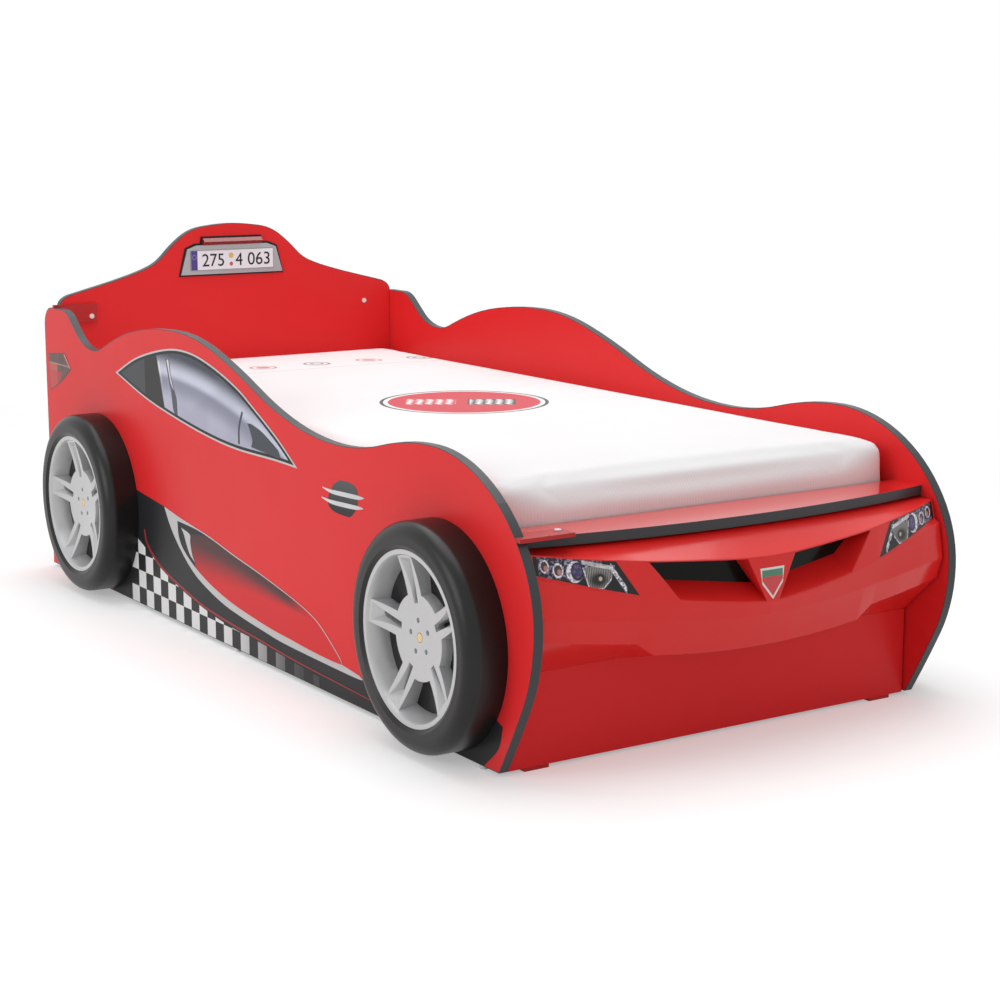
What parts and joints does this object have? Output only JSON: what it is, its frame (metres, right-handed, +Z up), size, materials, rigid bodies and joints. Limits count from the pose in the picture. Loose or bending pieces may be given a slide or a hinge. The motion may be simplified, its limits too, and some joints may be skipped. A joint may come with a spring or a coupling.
{
  "type": "car bed for children with pull-out bed",
  "caption": "Racing-car bed for children: shaped side panels with moulded wheels, headboard, slatted deck and mattress, and a second bed on castors that rolls out of the nose.",
  "frame": {"origin": "on the floor under the middle of the whole bed's bounding box", "axes": "+Z up, -Y towards the nose, +Y towards the headboard, +X to the right seen from the nose"},
  "size_m": [1.102, 2.143, 0.826],
  "materials": {
    "red_board": "chipboard with glossy red film",
    "grey_edging": "satin dark grey edge band",
    "raw_wood": "planed bare pine and beech",
    "white_board": "white laminated chipboard",
    "mattress_cloth": "white knitted cover with a fine rib",
    "tyre_black": "moulded black plastic, satin",
    "rim_silver": "moulded plastic, silver lacquer",
    "bumper_red": "moulded plastic, glossy red",
    "grille_black": "glossy black",
    "headlight_print": "printed film under clear gloss",
    "badge_yellow": "plain gloss",
    "hook_red": "moulded plastic, glossy red",
    "cap_white": "moulded plastic",
    "plate_silver": "silver-grey satin",
    "plate_white": "printed white",
    "lamp_red": "clear red gloss",
    "steel": "bright zinc-plated steel",
    "hub_brass": "brass-plated screw",
    "castor_grey": "dark nylon",
    "glide_black": "plastic glide"
  },
  "bodies": {
    "bed_frame": {"side_panel_left": "red_board", "side_edging_left": "grey_edging", "side_panel_right": "red_board", "side_edging_right": "grey_edging", "headboard": "red_board", "headboard_edging": "grey_edging", "hood_board": "red_board", "hood_edging": "grey_edging", "front_stretcher": "white_board", "slat_ledger_left": "raw_wood", "slat_ledger_right": "raw_wood", "bed_slats": "raw_wood", "mattress": "mattress_cloth", "wood_dowels": "raw_wood", "tyre_front_left": "tyre_black", "rim_front_left": "rim_silver", "tyre_front_right": "tyre_black", "rim_front_right": "rim_silver", "tyre_rear_left": "tyre_black", "rim_rear_left": "rim_silver", "tyre_rear_right": "tyre_black", "rim_rear_right": "rim_silver", "wheel_screws": "hub_brass", "wheel_nuts": "steel", "front_hook": "hook_red", "rear_hook": "hook_red", "screw_caps": "cap_white", "plate_frame": "plate_silver", "number_plate": "plate_white", "plate_lamp": "lamp_red", "panel_glides": "glide_black"},
    "rolling_bed": {"trundle_front_board": "red_board", "bumper": "bumper_red", "badge": "badge_yellow", "headlight_left": "headlight_print", "headlight_right": "headlight_print", "grille_left": "grille_black", "grille_right": "grille_black", "bumper_screws": "steel", "front_feet": "hook_red", "trundle_base": "white_board", "trundle_side_left": "white_board", "trundle_side_right": "white_board", "trundle_back": "white_board", "guide_blocks": "castor_grey", "castor_forks": "steel", "castor_axles": "steel"},
    "castor_front_left_body": {"castor_front_left": "castor_grey"},
    "castor_front_right_body": {"castor_front_right": "castor_grey"},
    "castor_rear_left_body": {"castor_rear_left": "castor_grey"},
    "castor_rear_right_body": {"castor_rear_right": "castor_grey"}
  },
  "joints": [
    {"name": "rolling_bed_slide", "type": "slide", "parent": "bed_frame", "child": "rolling_bed", "axis": [0, -1, 0], "range_m": [0, 1.7]},
    {"name": "castor_front_left_spin", "type": "hinge", "parent": "rolling_bed", "child": "castor_front_left_body", "pos_m": [-0.4, -0.8695, 0.025], "axis": [1, 0, 0], "continuous": true},
    {"name": "castor_front_right_spin", "type": "hinge", "parent": "rolling_bed", "child": "castor_front_right_body", "pos_m": [0.4, -0.8695, 0.025], "axis": [1, 0, 0], "continuous": true},
    {"name": "castor_rear_left_spin", "type": "hinge", "parent": "rolling_bed", "child": "castor_rear_left_body", "pos_m": [-0.4, 0.8885, 0.025], "axis": [1, 0, 0], "continuous": true},
    {"name": "castor_rear_right_spin", "type": "hinge", "parent": "rolling_bed", "child": "castor_rear_right_body", "pos_m": [0.4, 0.8885, 0.025], "axis": [1, 0, 0], "continuous": true}
  ],
  "couplings": [
    {"joint": "castor_front_left_spin", "follows": "rolling_bed_slide", "rad_per_m": 40},
    {"joint": "castor_front_right_spin", "follows": "rolling_bed_slide", "rad_per_m": 40},
    {"joint": "castor_rear_left_spin", "follows": "rolling_bed_slide", "rad_per_m": 40},
    {"joint": "castor_rear_right_spin", "follows": "rolling_bed_slide", "rad_per_m": 40}
  ]
}
